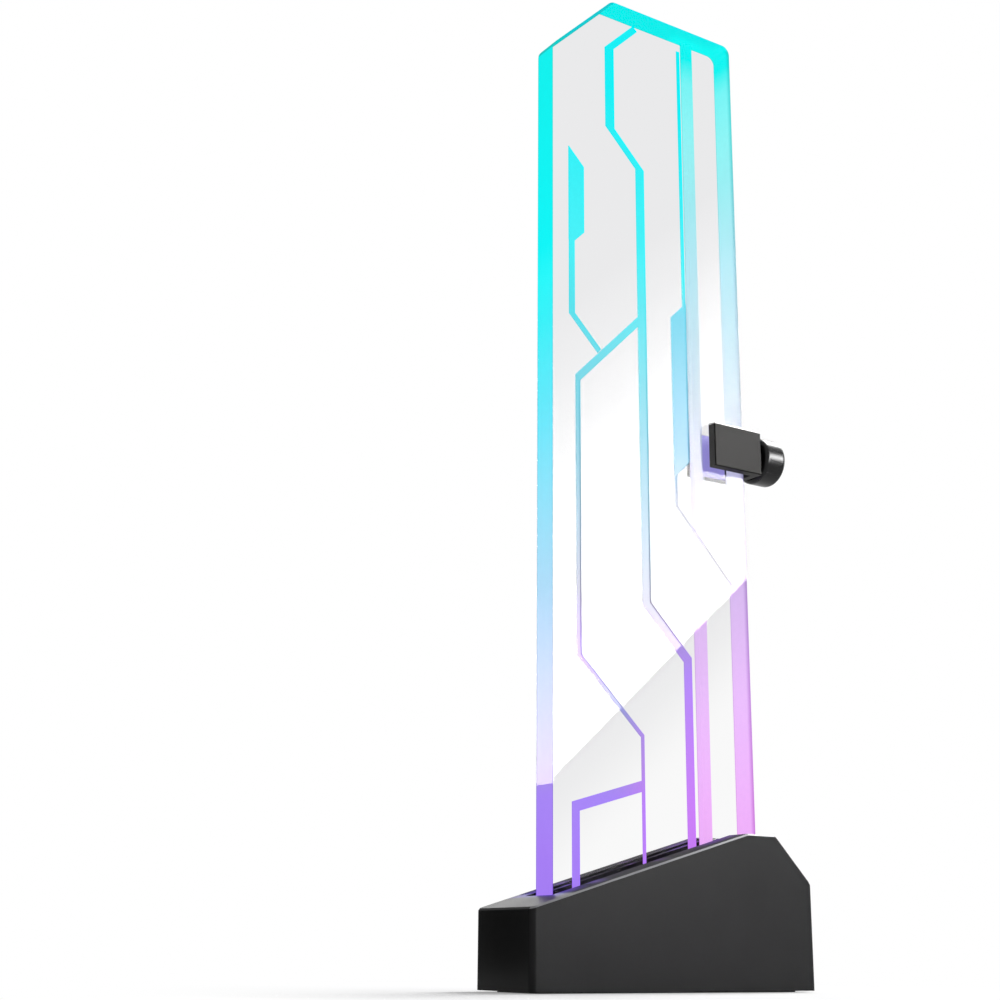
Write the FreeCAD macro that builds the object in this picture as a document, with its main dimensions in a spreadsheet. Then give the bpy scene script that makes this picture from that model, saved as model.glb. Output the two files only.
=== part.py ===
import FreeCAD, Part
import math
import os

import Sketcher

# Graphics card support bracket: a slim clear light panel standing in a wedge-shaped base, with a clip that
# slides on the panel's right edge and a thumb screw that locks the clip and carries the card's corner.
# Frame: X runs along the base to the right, Y runs back, Z runs up, and the origin is the middle of the foot.

V = FreeCAD.Vector

SIZES = {
    # base housing
    "base_length": 72.6,
    "base_depth": 19.7,
    "end_height": 15.75,
    "full_height": 31.9,
    "flat_run": 7.7,
    "shoulder_run": 10.0,
    "shoulder_height": 21.8,
    "base_wall": 2.0,
    "corner_round": 1.2,
    "top_bevel": 0.35,
    "foot_gap": 0.3,
    "slot_clearance": 0.15,
    "recess_margin": 1.5,
    "recess_depth": 0.5,
    "light_channel_width": 4.4,
    "light_channel_inset": 1.8,
    "seat_ledge": 1.8,
    "cut_margin": 1.0,
    # cover, foot pad and magnets
    "cover_thick": 1.8,
    "cover_clearance": 0.2,
    "pad_thick": 0.8,
    "pad_margin": 0.6,
    "pad_round": 2.0,
    "pillar_radius": 2.4,
    "pillar_end_gap": 0.3,
    "pillar_side_gap": 0.1,
    "cover_screw_radius": 0.8,
    "cover_screw_head": 1.6,
    "cover_screw_length": 4.6,
    "magnet_radius": 5.0,
    "magnet_thick": 2.5,
    "magnet_pocket": 0.8,
    "magnet_header_gap": 0.75,
    "magnet_clearance": 0.1,
    # light board
    "board_height": 5.6,
    "board_thick": 1.6,
    "board_overhang": 0.25,
    "board_width": 12.0,
    "board_screw_radius": 0.9,
    "board_screw_head": 1.7,
    "board_screw_head_thick": 1.1,
    "board_screw_length": 4.4,
    "board_screw_spacing": 17.75,
    "board_screw_offset": 4.4,
    "chip_side": 3.5,
    "chip_thick": 1.4,
    "chip_count": 8,
    "header_length": 5.4,
    "header_width": 4.5,
    "header_thick": 2.6,
    "header_wall": 0.6,
    "header_inset": 0.6,
    # cable outlet
    "outlet_inset": 9.0,
    "grommet_radius": 1.9,
    "grommet_bore": 1.3,
    "grommet_flange": 2.9,
    "grommet_flange_thick": 0.8,
    "grommet_clearance": 0.05,
    # panel clamp
    "clamp_margin": 6.75,
    "clamp_height": 5.0,
    "clamp_thick": 1.2,
    "clamp_lift": 3.0,
    "clamp_clearance": 0.1,
    "grub_radius": 1.5,
    "grub_socket": 0.8,
    "grub_length": 4.0,
    "grub_spacing": 28.0,
    "grub_clearance": 0.05,
    # light panel
    "panel_margin": 8.8,
    "panel_thick": 6.0,
    "panel_top": 225.0,
    "panel_inset": 10.3,
    "panel_front": 7.65,
    "panel_chamfer": 17.0,
    "panel_round": 2.2,
    "chamfer_round": 3.0,
    "trace_depth": 0.3,
    "groove_depth": 1.6,
    "groove_width": 2.45,
    "rail_width": 8.42,
    # clip
    "clip_height": 119.0,
    "jaw_height": 10.4,
    "jaw_thick": 2.1,
    "jaw_reach": 10.5,
    "clip_edge_gap": 1.7,
    "web_thick": 1.7,
    "clip_bevel": 0.2,
    "lip_thick": 1.3,
    "lip_clearance": 0.1,
    "lip_tip_gap": 0.3,
    "liner_thick": 0.4,
    "liner_gap": 0.1,
    "liner_margin": 0.3,
    # thumb screw
    "stud_radius": 1.5,
    "thread_clearance": 0.05,
    "insert_wall": 0.7,
    "shoe_radius": 3.0,
    "shoe_thick": 0.8,
    "shoe_socket": 0.4,
    "knob_gap": 0.9,
    "knob_length": 8.0,
    "knob_core_radius": 3.9,
    "knob_collar": 0.8,
    "knob_round": 0.9,
    "stud_grip": 5.0,
    "sleeve_thick": 1.6,
    "sleeve_round": 1.1,
}

# The light traces on the panel's front, each a list of centre points and one width for each leg.
# A place is (distance from the panel's left edge, height below the panel's top).
TRACES = {
    "main_trace": {
        "points": [(23.9, 5.0), (16.2, 12.7), (16.2, 33.4), (24.7, 41.9), (24.7, 145.0), (35.8, 156.1),
                   (35.8, None)],
        "widths": [1.7, 2.5, 1.7, 2.35, 2.3, 2.1],
    },
    "branch_trace": {
        "points": [(24.2, 79.4), (6.7, 96.9), (6.7, 157.9), (23.07, 173.6), (23.07, None)],
        "widths": [1.7, 1.2, 0.9, 0.75],
    },
    "flag_stem": {
        "points": [(5.2, 60.0), (5.2, 82.2), (12.6, 89.6)],
        "widths": [1.5, 1.3],
    },
    "rail_trace": {
        "points": [(37.03, 6.6), (37.03, 74.0)],
        "widths": [0.9],
    },
    "rail_branch": {
        "points": [(33.6, 112.0), (33.6, 121.6), (49.0, 137.8)],
        "widths": [0.6, 0.4],
    },
}
FLAG = [(4.4, 41.7), (8.6, 45.9), (8.6, 62.1), (6.0, 64.7), (4.4, 64.7)]
BAR = [(37.6, 72.3), (33.1, 76.8), (33.1, 114.6), (33.9, 114.6), (37.6, 110.9)]
LOOP_HEIGHT = 183.95
LOOP_LEFT = 5.7
LOOP_RIGHT = 22.9
LOOP_WIDTHS = [2.2, 1.8]

doc = FreeCAD.newDocument("support_bracket")
sheet = doc.addObject("Spreadsheet::Sheet", "sizes")
for row, (alias, value) in enumerate(SIZES.items(), start=1):
    sheet.set(f"A{row}", alias)
    sheet.set(f"B{row}", str(value))
    sheet.setAlias(f"B{row}", alias)
doc.recompute()


def size(text):
    """The value of a sheet alias or of an expression of aliases."""
    value = sheet.evalExpression(text)
    return float(getattr(value, "Value", value))


# Places that several pieces share, as expressions of the sheet's aliases.
LEFT = "(-sizes.base_length / 2)"
RIGHT = "(sizes.base_length / 2)"
BACK = "(sizes.base_depth / 2)"
FRONT = "(-sizes.base_depth / 2)"
PANEL_LEFT = "(sizes.panel_inset - sizes.base_length / 2)"
PANEL_RIGHT = "(sizes.base_length / 2 - sizes.panel_margin)"
PANEL_WIDTH = "(sizes.base_length - sizes.panel_inset - sizes.panel_margin)"
PANEL_FRONT = "(sizes.panel_front - sizes.base_depth / 2)"
PANEL_BACK = "(sizes.panel_front - sizes.base_depth / 2 + sizes.panel_thick)"
PANEL_MIDDLE = "(sizes.panel_front - sizes.base_depth / 2 + sizes.panel_thick / 2)"
PANEL_CENTRE = "((sizes.panel_inset - sizes.panel_margin) / 2)"
COVER_TOP = "(sizes.pad_thick + sizes.cover_thick)"
BAY_TOP = "(sizes.board_height + sizes.board_thick)"
SEAT = "(sizes.board_height + sizes.board_thick + sizes.seat_ledge)"
SLOPE_RUN = "(sizes.base_length - sizes.flat_run - sizes.shoulder_run)"
SLOPE = f"((sizes.full_height - sizes.end_height) / {SLOPE_RUN})"
SLOT_BACK = f"({PANEL_BACK} + sizes.slot_clearance)"
SLOT_FRONT = f"({PANEL_FRONT} - sizes.slot_clearance)"
RAIL_LEFT = f"({PANEL_RIGHT} - sizes.rail_width)"
WEB_INNER = f"({PANEL_RIGHT} + sizes.clip_edge_gap)"
WEB_OUTER = f"({PANEL_RIGHT} + sizes.clip_edge_gap + sizes.web_thick)"
JAW_LEFT = f"({PANEL_RIGHT} - sizes.jaw_reach)"
LINER_SPACE = "(sizes.liner_thick + sizes.liner_gap)"
CLAMP_LENGTH = f"({PANEL_WIDTH} - 2 * sizes.clamp_margin)"
CLAMP_BOTTOM = f"({SEAT} + sizes.clamp_lift)"
CLAMP_MIDDLE = f"({CLAMP_BOTTOM} + sizes.clamp_height / 2)"
BAY_MIDDLE = f"(({COVER_TOP} + {BAY_TOP}) / 2)"
OUTLET = "(sizes.base_length / 2 - sizes.outlet_inset)"
BOARD_LENGTH = f"({PANEL_WIDTH} + 2 * sizes.board_overhang)"
HEADER_LEFT = f"({PANEL_CENTRE} + {BOARD_LENGTH} / 2 - sizes.header_inset - sizes.header_length)"
MAGNET_STEP = f"({HEADER_LEFT} - sizes.magnet_header_gap - sizes.magnet_radius)"
PILLAR_X = "(sizes.base_length / 2 - sizes.base_wall - sizes.pillar_radius - sizes.pillar_end_gap)"
PILLAR_Y = "(sizes.base_depth / 2 - sizes.base_wall - sizes.pillar_radius - sizes.pillar_side_gap)"
CORNERS = [(-1, -1), (1, -1), (1, 1), (-1, 1)]


def new_body(label):
    body = doc.addObject("PartDesign::Body", label)
    body.Label = label
    return body


def new_sketch(body, name, role, height="0"):
    """A sketch on one of the body's own origin planes, lifted along the plane's normal."""
    sketch = body.newObject("Sketcher::SketchObject", name)
    plane = next(f for f in body.Origin.OriginFeatures if f.Role == role)
    sketch.AttachmentSupport = [(plane, "")]
    sketch.MapMode = "FlatFace"
    sketch.setExpression("AttachmentOffset.Base.z", height)
    return sketch


def pin(sketch, index, point, place):
    """Ties one point of a sketch's line or circle to two expressions."""
    for kind, text in (("DistanceX", place[0]), ("DistanceY", place[1])):
        number = sketch.addConstraint(Sketcher.Constraint(kind, -1, 1, index, point, size(text)))
        sketch.setExpression(f"Constraints[{number}]", text)


def draw_outline(sketch, places):
    """A closed outline of straight lines through places given as expressions."""
    corners = [V(size(x), size(z), 0) for x, z in places]
    first = None
    last = None
    for corner, following, place in zip(corners, corners[1:] + corners[:1], places):
        line = sketch.addGeometry(Part.LineSegment(corner, following), False)
        if last is None:
            first = line
        else:
            sketch.addConstraint(Sketcher.Constraint("Coincident", last, 2, line, 1))
        pin(sketch, line, 1, place)
        last = line
    sketch.addConstraint(Sketcher.Constraint("Coincident", last, 2, first, 1))


def draw_corners(sketch, corners):
    """A closed outline through corners worked out as numbers."""
    points = [V(x, z, 0) for x, z in corners]
    for start, end in zip(points, points[1:] + points[:1]):
        sketch.addGeometry(Part.LineSegment(start, end), False)


def draw_box(sketch, left, low, right, high):
    draw_outline(sketch, [(left, low), (right, low), (right, high), (left, high)])


def draw_circle(sketch, place, radius):
    centre = V(size(place[0]), size(place[1]), 0)
    index = sketch.addGeometry(Part.Circle(centre, V(0, 0, 1), size(radius)), False)
    pin(sketch, index, 3, place)
    number = sketch.addConstraint(Sketcher.Constraint("Radius", index, size(radius)))
    sketch.setExpression(f"Constraints[{number}]", radius)


def pad(body, sketch, length, back=False):
    feature = body.newObject("PartDesign::Pad", f"{sketch.Name}_pad")
    feature.Profile = sketch
    feature.Reversed = back
    feature.setExpression("Length", length)
    sketch.Visibility = False
    doc.recompute()
    return feature


def pocket(body, sketch, depth, back=False):
    """Cuts the sketch against its plane's normal, or along it where back is set, and checks that it cut."""
    before = body.Shape.Volume
    feature = body.newObject("PartDesign::Pocket", f"{sketch.Name}_cut")
    feature.Profile = sketch
    feature.Reversed = back
    feature.setExpression("Length", depth)
    sketch.Visibility = False
    doc.recompute()
    if body.Shape.Volume >= before:
        raise RuntimeError(f"{feature.Name} cuts nothing")
    return feature


def edges_where(body, test):
    """The names of the tip's straight edges whose two ends pass a test."""
    names = []
    for number, edge in enumerate(body.Shape.Edges, start=1):
        ends = [vertex.Point for vertex in edge.Vertexes]
        if len(ends) == 2 and test(*ends):
            names.append(f"Edge{number}")
    return names


def rims_of(body, radius):
    """The names of the tip's round edges of one radius."""
    names = []
    for number, edge in enumerate(body.Shape.Edges, start=1):
        if isinstance(edge.Curve, Part.Circle) and same(edge.Curve.Radius, radius):
            names.append(f"Edge{number}")
    return names


def dress(body, kind, name, amount, names):
    """A fillet or chamfer on named edges of the tip."""
    base = body.Tip
    if not names:
        raise RuntimeError(f"{name} finds no edge")
    feature = body.newObject(f"PartDesign::{kind}", name)
    feature.Base = (base, names)
    feature.setExpression("Radius" if kind == "Fillet" else "Size", amount)
    doc.recompute()
    return feature


def same(one, other):
    return abs(one - other) < 1e-4


def along(axis, one, other):
    """Whether a line from one point to another runs along X, Y or Z."""
    return all(same(getattr(one, name), getattr(other, name)) for name in "xyz" if name != axis)


def crossing(point, direction, other, heading):
    """Where two lines in a plane meet."""
    cross = direction[0] * heading[1] - direction[1] * heading[0]
    gap = (other[0] - point[0], other[1] - point[1])
    share = (gap[0] * heading[1] - gap[1] * heading[0]) / cross
    return (point[0] + share * direction[0], point[1] + share * direction[1])


def stripe(points, widths):
    """The outline of a bent stripe: each leg has its own width, and their borders meet where they cross."""
    legs = []
    for start, end, width in zip(points, points[1:], widths):
        length = math.dist(start, end)
        heading = ((end[0] - start[0]) / length, (end[1] - start[1]) / length)
        legs.append((start, end, heading, width / 2))
    sides = []
    for sign in (1, -1):
        border = []
        for number, (start, end, heading, reach) in enumerate(legs):
            offset = (-heading[1] * reach * sign, heading[0] * reach * sign)
            here = (start[0] + offset[0], start[1] + offset[1])
            if number == 0:
                border.append(here)
            else:
                border.append(crossing(*previous, here, heading))
            previous = (here, heading)
            if number == len(legs) - 1:
                border.append((end[0] + offset[0], end[1] + offset[1]))
        sides.append(border)
    return sides[0] + sides[1][::-1]


def cylinder(name, radius, length, place, turned=None):
    """A Part cylinder whose sizes and place are expressions; turned names the axis it lies along."""
    shape = doc.addObject("Part::Cylinder", name)
    shape.setExpression("Radius", radius)
    shape.setExpression("Height", length)
    if turned == "x":
        shape.Placement = FreeCAD.Placement(V(0, 0, 0), FreeCAD.Rotation(V(0, 1, 0), 90))
    if turned == "y":
        shape.Placement = FreeCAD.Placement(V(0, 0, 0), FreeCAD.Rotation(V(1, 0, 0), -90))
    put(shape, place)
    return shape


def box(name, sides, place):
    shape = doc.addObject("Part::Box", name)
    for side, text in zip(("Length", "Width", "Height"), sides):
        shape.setExpression(side, text)
    put(shape, place)
    return shape


def put(shape, place):
    for axis, text in zip("xyz", place):
        shape.setExpression(f"Placement.Base.{axis}", text)


def cut(name, base, tool):
    shape = doc.addObject("Part::Cut", name)
    shape.Base = base
    shape.Tool = tool
    return shape


def fuse(name, pieces):
    shape = doc.addObject("Part::MultiFuse", name)
    shape.Shapes = pieces
    return shape


def gather(label, pieces):
    """Identical loose pieces that share one node."""
    shape = doc.addObject("Part::Compound", label)
    shape.Links = pieces
    return finish(shape, label)


def finish(shape, label):
    shape.Label = label
    nodes[label] = shape
    return shape


nodes = {}


def make_housing():
    """The cast wedge: outer form, electronics bay, screw pillars, panel slot and its shallow recess."""
    body = new_body("base_housing")
    profile = new_sketch(body, "wedge", "XZ_Plane", "-sizes.base_depth / 2")
    draw_outline(
        profile,
        [
            (LEFT, "sizes.foot_gap"),
            (RIGHT, "sizes.foot_gap"),
            (RIGHT, "sizes.shoulder_height"),
            (f"{RIGHT} - sizes.shoulder_run", "sizes.full_height"),
            (f"{LEFT} + {SLOPE_RUN}", "sizes.full_height"),
            (LEFT, "sizes.end_height"),
        ],
    )
    pad(body, profile, "sizes.base_depth")
    edge_y = size(BACK)
    uprights = edges_where(body, lambda a, b: along("z", a, b))
    dress(body, "Fillet", "upright_rounds", "sizes.corner_round", uprights)
    foot = size("sizes.foot_gap + sizes.cut_margin")
    top_edges = edges_where(body, lambda a, b: same(a.y, b.y) and same(abs(a.y), edge_y)
                            and not same(a.x, b.x) and a.z > foot)
    dress(body, "Chamfer", "top_bevels", "sizes.top_bevel", top_edges)

    bay = new_sketch(body, "bay", "XY_Plane", "sizes.foot_gap")
    draw_box(bay, f"{LEFT} + sizes.base_wall", f"{FRONT} + sizes.base_wall",
             f"{RIGHT} - sizes.base_wall", f"{BACK} - sizes.base_wall")
    pocket(body, bay, f"{BAY_TOP} - sizes.foot_gap", back=True)

    pillars = new_sketch(body, "pillars", "XY_Plane", COVER_TOP)
    for side_x, side_y in CORNERS:
        draw_circle(pillars, (f"{side_x} * {PILLAR_X}", f"{side_y} * {PILLAR_Y}"), "sizes.pillar_radius")
    pad(body, pillars, f"{BAY_TOP} - {COVER_TOP}")
    threads = new_sketch(body, "pillar_holes", "XY_Plane", COVER_TOP)
    for side_x, side_y in CORNERS:
        draw_circle(threads, (f"{side_x} * {PILLAR_X}", f"{side_y} * {PILLAR_Y}"),
                    "sizes.cover_screw_radius + sizes.thread_clearance")
    pocket(body, threads, "sizes.cover_screw_length", back=True)

    recess = new_sketch(body, "recess", "XZ_Plane", f"-({SLOT_BACK} + sizes.recess_margin)")
    start = "(sizes.panel_inset - sizes.recess_margin)"
    floor = f"sizes.end_height + {start} * {SLOPE} - sizes.recess_depth"
    draw_outline(
        recess,
        [
            (f"{LEFT} + {start}", floor),
            (f"{LEFT} + {SLOPE_RUN}", "sizes.full_height - sizes.recess_depth"),
            (f"{PANEL_RIGHT} + sizes.recess_margin", "sizes.full_height - sizes.recess_depth"),
            (f"{PANEL_RIGHT} + sizes.recess_margin", "sizes.full_height + sizes.cut_margin"),
            (f"{LEFT} + {start}", "sizes.full_height + sizes.cut_margin"),
        ],
    )
    pocket(body, recess, f"{SLOT_BACK} - {SLOT_FRONT} + 2 * sizes.recess_margin", back=True)

    slot = new_sketch(body, "slot", "XY_Plane", SEAT)
    draw_box(slot, f"{PANEL_LEFT} - sizes.slot_clearance", SLOT_FRONT,
             f"{PANEL_RIGHT} + sizes.slot_clearance", SLOT_BACK)
    pocket(body, slot, "sizes.full_height", back=True)
    channel = new_sketch(body, "light_channel", "XY_Plane", BAY_TOP)
    draw_box(channel,
             f"{PANEL_LEFT} + sizes.light_channel_inset", f"{PANEL_MIDDLE} - sizes.light_channel_width / 2",
             f"{PANEL_RIGHT} - sizes.light_channel_inset", f"{PANEL_MIDDLE} + sizes.light_channel_width / 2")
    pocket(body, channel, "sizes.seat_ledge", back=True)

    bed = new_sketch(body, "clamp_bed", "XZ_Plane", f"-{SLOT_BACK}")
    draw_box(bed, f"{PANEL_CENTRE} - {CLAMP_LENGTH} / 2 - sizes.clamp_clearance",
             f"{CLAMP_BOTTOM} - sizes.clamp_clearance",
             f"{PANEL_CENTRE} + {CLAMP_LENGTH} / 2 + sizes.clamp_clearance",
             f"{CLAMP_BOTTOM} + sizes.clamp_height + sizes.clamp_clearance")
    pocket(body, bed, "sizes.clamp_thick")
    grubs = new_sketch(body, "grub_holes", "XZ_Plane", f"-{BACK}")
    for side in (-1, 1):
        draw_circle(grubs, (f"{PANEL_CENTRE} + {side} * sizes.grub_spacing / 2", CLAMP_MIDDLE),
                    "sizes.grub_radius + sizes.grub_clearance")
    pocket(body, grubs, f"{BACK} - {SLOT_BACK}", back=True)

    screws = new_sketch(body, "board_screw_holes", "XY_Plane", BAY_TOP)
    for side in (-1, 1):
        draw_circle(screws, board_screw_place(side), "sizes.board_screw_radius + sizes.thread_clearance")
    pocket(body, screws, "sizes.board_screw_length", back=True)

    outlet = new_sketch(body, "outlet", "XZ_Plane", f"-{BACK}")
    draw_circle(outlet, (OUTLET, BAY_MIDDLE), "sizes.grommet_radius + sizes.grommet_clearance")
    pocket(body, outlet, "sizes.base_wall", back=True)
    sink = new_sketch(body, "outlet_sink", "XZ_Plane", f"-{BACK}")
    draw_circle(sink, (OUTLET, BAY_MIDDLE), "sizes.grommet_flange + sizes.grommet_clearance")
    pocket(body, sink, "sizes.grommet_flange_thick", back=True)
    finish(body, "base_housing")


def board_screw_place(side):
    return (f"{side} * sizes.board_screw_spacing / 2", f"{PANEL_MIDDLE} + sizes.board_screw_offset")


def make_cover():
    """The plate that closes the bay from below, with magnet pockets and screw holes."""
    body = new_body("base_cover")
    plate = new_sketch(body, "plate", "XY_Plane", "sizes.pad_thick")
    draw_box(plate, f"{LEFT} + sizes.base_wall + sizes.cover_clearance",
             f"{FRONT} + sizes.base_wall + sizes.cover_clearance",
             f"{RIGHT} - sizes.base_wall - sizes.cover_clearance",
             f"{BACK} - sizes.base_wall - sizes.cover_clearance")
    pad(body, plate, "sizes.cover_thick")
    seats = new_sketch(body, "magnet_seats", "XY_Plane", COVER_TOP)
    for number in (-1, 0, 1):
        draw_circle(seats, (f"{number} * {MAGNET_STEP}", "0"),
                    "sizes.magnet_radius + sizes.magnet_clearance")
    pocket(body, seats, "sizes.magnet_pocket")
    holes = new_sketch(body, "screw_holes", "XY_Plane", COVER_TOP)
    for side_x, side_y in CORNERS:
        draw_circle(holes, (f"{side_x} * {PILLAR_X}", f"{side_y} * {PILLAR_Y}"),
                    "sizes.cover_screw_radius + sizes.thread_clearance")
    pocket(body, holes, "sizes.cover_thick")
    heads = new_sketch(body, "screw_sinks", "XY_Plane", "sizes.pad_thick")
    for side_x, side_y in CORNERS:
        draw_circle(heads, (f"{side_x} * {PILLAR_X}", f"{side_y} * {PILLAR_Y}"),
                    "sizes.cover_screw_head + sizes.thread_clearance")
    pocket(body, heads, "sizes.cover_thick / 2", back=True)
    finish(body, "base_cover")


def make_pad():
    """The soft foot sheet glued under the cover."""
    body = new_body("grip_pad")
    outline = new_sketch(body, "foot", "XY_Plane")
    draw_box(outline, f"{LEFT} + sizes.base_wall + sizes.pad_margin",
             f"{FRONT} + sizes.base_wall + sizes.pad_margin",
             f"{RIGHT} - sizes.base_wall - sizes.pad_margin",
             f"{BACK} - sizes.base_wall - sizes.pad_margin")
    pad(body, outline, "sizes.pad_thick")
    dress(body, "Fillet", "pad_rounds", "sizes.pad_round", edges_where(body, lambda a, b: along("z", a, b)))
    finish(body, "grip_pad")


def make_base_insides():
    """Magnets, light board with its chips and header, and the screws that hold them."""
    for number, name in ((-1, "magnet_left"), (0, "magnet_centre"), (1, "magnet_right")):
        disc = cylinder(name, "sizes.magnet_radius", "sizes.magnet_thick",
                        (f"{number} * {MAGNET_STEP}", "0", f"{COVER_TOP} - sizes.magnet_pocket"))
        finish(disc, name)

    screws = []
    for number, (side_x, side_y) in enumerate(CORNERS, start=1):
        place = (f"{side_x} * {PILLAR_X}", f"{side_y} * {PILLAR_Y}", "sizes.pad_thick")
        head = cylinder(f"cover_head_{number}", "sizes.cover_screw_head", "sizes.cover_thick / 2", place)
        shank = cylinder(f"cover_shank_{number}", "sizes.cover_screw_radius", "sizes.cover_screw_length", place)
        screws.append(fuse(f"cover_screw_{number}", [head, shank]))
    gather("cover_screws", screws)

    board = box("board_blank", (BOARD_LENGTH, "sizes.board_width", "sizes.board_thick"),
                (f"{PANEL_CENTRE} - {BOARD_LENGTH} / 2", f"{PANEL_MIDDLE} - sizes.board_width / 2",
                 "sizes.board_height"))
    holes = []
    screws = []
    for number, side in enumerate((-1, 1), start=1):
        x, y = board_screw_place(side)
        holes.append(cylinder(f"board_hole_{number}", "sizes.board_screw_radius + sizes.thread_clearance",
                              "sizes.board_thick", (x, y, "sizes.board_height")))
        head = cylinder(f"board_head_{number}", "sizes.board_screw_head", "sizes.board_screw_head_thick",
                        (x, y, "sizes.board_height - sizes.board_screw_head_thick"))
        shank = cylinder(f"board_shank_{number}", "sizes.board_screw_radius", "sizes.board_screw_length",
                         (x, y, "sizes.board_height"))
        screws.append(fuse(f"board_screw_{number}", [head, shank]))
    finish(cut("led_board", board, fuse("board_holes", holes)), "led_board")
    gather("board_screws", screws)

    chips = []
    count = int(size("sizes.chip_count"))
    for number in range(count):
        step = f"({PANEL_WIDTH} - 2 * sizes.light_channel_inset) / {count}"
        x = f"{PANEL_LEFT} + sizes.light_channel_inset + ({number} + 0.5) * {step} - sizes.chip_side / 2"
        chips.append(box(f"chip_{number + 1}", ("sizes.chip_side", "sizes.chip_side", "sizes.chip_thick"),
                         (x, f"{PANEL_MIDDLE} - sizes.chip_side / 2", BAY_TOP)))
    gather("led_chips", chips)

    y = f"({PANEL_MIDDLE} - sizes.header_width / 2)"
    z = "(sizes.board_height - sizes.header_thick)"
    shell = box("header_shell", ("sizes.header_length", "sizes.header_width", "sizes.header_thick"),
                (HEADER_LEFT, y, z))
    mouth = box("header_mouth",
                ("sizes.header_length - sizes.header_wall", "sizes.header_width - 2 * sizes.header_wall",
                 "sizes.header_thick - 2 * sizes.header_wall"),
                (f"{HEADER_LEFT} + sizes.header_wall", f"{y} + sizes.header_wall", f"{z} + sizes.header_wall"))
    finish(cut("led_header", shell, mouth), "led_header")


def make_grommet():
    """The flanged bush that lines the cable outlet in the back wall."""
    flange = cylinder("grommet_flange_disc", "sizes.grommet_flange", "sizes.grommet_flange_thick",
                      (OUTLET, f"{BACK} - sizes.grommet_flange_thick", BAY_MIDDLE), "y")
    barrel = cylinder("grommet_barrel", "sizes.grommet_radius", "sizes.base_wall",
                      (OUTLET, f"{BACK} - sizes.base_wall", BAY_MIDDLE), "y")
    bore = cylinder("grommet_bore_tool", "sizes.grommet_bore", "sizes.base_wall",
                    (OUTLET, f"{BACK} - sizes.base_wall", BAY_MIDDLE), "y")
    finish(cut("cable_grommet", fuse("grommet_blank", [flange, barrel]), bore), "cable_grommet")


def make_panel_clamp():
    """The nylon bar behind the panel and the two socket grub screws that press it forward."""
    bar = box("clamp_bar", (CLAMP_LENGTH, "sizes.clamp_thick", "sizes.clamp_height"),
              (f"{PANEL_CENTRE} - {CLAMP_LENGTH} / 2", PANEL_BACK, CLAMP_BOTTOM))
    finish(bar, "clamp_bar")
    screws = []
    for number, side in enumerate((-1, 1), start=1):
        x = f"{PANEL_CENTRE} + {side} * sizes.grub_spacing / 2"
        y = f"{PANEL_BACK} + sizes.clamp_thick"
        blank = cylinder(f"grub_blank_{number}", "sizes.grub_radius", "sizes.grub_length",
                         (x, y, CLAMP_MIDDLE), "y")
        socket = doc.addObject("Part::Prism", f"grub_socket_{number}")
        socket.Polygon = 6
        socket.setExpression("Circumradius", "sizes.grub_socket")
        socket.setExpression("Height", "sizes.grub_length / 2")
        socket.Placement = FreeCAD.Placement(V(0, 0, 0), FreeCAD.Rotation(V(1, 0, 0), -90))
        put(socket, (x, f"{y} + sizes.grub_length / 2", CLAMP_MIDDLE))
        screws.append(cut(f"grub_screw_{number}", blank, socket))
    gather("grub_screws", screws)


def make_panel():
    """The clear sheet: a cut-off corner, rounded corners, traces engraved in front, the clip's groove behind."""
    body = new_body("light_panel")
    face = new_sketch(body, "face", "XZ_Plane", f"-{PANEL_BACK}")
    draw_outline(
        face,
        [
            (PANEL_LEFT, SEAT),
            (PANEL_RIGHT, SEAT),
            (PANEL_RIGHT, "sizes.panel_top"),
            (f"{PANEL_LEFT} + sizes.panel_chamfer", "sizes.panel_top"),
            (PANEL_LEFT, "sizes.panel_top - sizes.panel_chamfer"),
        ],
    )
    pad(body, face, "sizes.panel_thick")
    right = size(PANEL_RIGHT)
    top = size("sizes.panel_top")
    low = size("sizes.panel_top - sizes.panel_chamfer - sizes.cut_margin")
    corner = edges_where(body, lambda a, b: along("y", a, b) and same(a.x, right) and same(a.z, top))
    dress(body, "Fillet", "top_round", "sizes.panel_round", corner)
    middle = size(PANEL_CENTRE)
    corners = edges_where(body, lambda a, b: along("y", a, b) and a.z > low and a.x < middle)
    dress(body, "Fillet", "chamfer_rounds", "sizes.chamfer_round", corners)

    groove = new_sketch(body, "groove", "XZ_Plane", f"-{PANEL_BACK}")
    draw_box(groove, f"{RAIL_LEFT} - sizes.groove_width", f"{SEAT} - sizes.cut_margin",
             RAIL_LEFT, "sizes.panel_top + sizes.cut_margin")
    pocket(body, groove, "sizes.groove_depth", back=True)

    for name, corners in trace_outlines().items():
        line = new_sketch(body, name, "XZ_Plane", f"-{PANEL_FRONT}")
        draw_corners(line, corners)
        pocket(body, line, "sizes.trace_depth")
    finish(body, "light_panel")


def trace_outlines():
    """The traces' outlines in the panel's plane, worked out from its left edge, top and seat."""
    left = size(PANEL_LEFT)
    top = size("sizes.panel_top")
    foot = size(f"{SEAT} - sizes.cut_margin")

    def place(point):
        across, down = point
        return (left + across, foot if down is None else top - down)

    outlines = {}
    for name, trace in TRACES.items():
        outlines[name] = stripe([place(point) for point in trace["points"]], trace["widths"])
    outlines["flag"] = [place(point) for point in FLAG]
    outlines["bar"] = [place(point) for point in BAR]
    slope = size(SLOPE)
    loop_end = (LOOP_RIGHT, LOOP_HEIGHT)
    loop_corner = (LOOP_LEFT, LOOP_HEIGHT + (LOOP_RIGHT - LOOP_LEFT) * slope)
    loop = [place(point) for point in (loop_end, loop_corner, (LOOP_LEFT, None))]
    outlines["loop_trace"] = stripe(loop, LOOP_WIDTHS)
    return outlines


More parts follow.
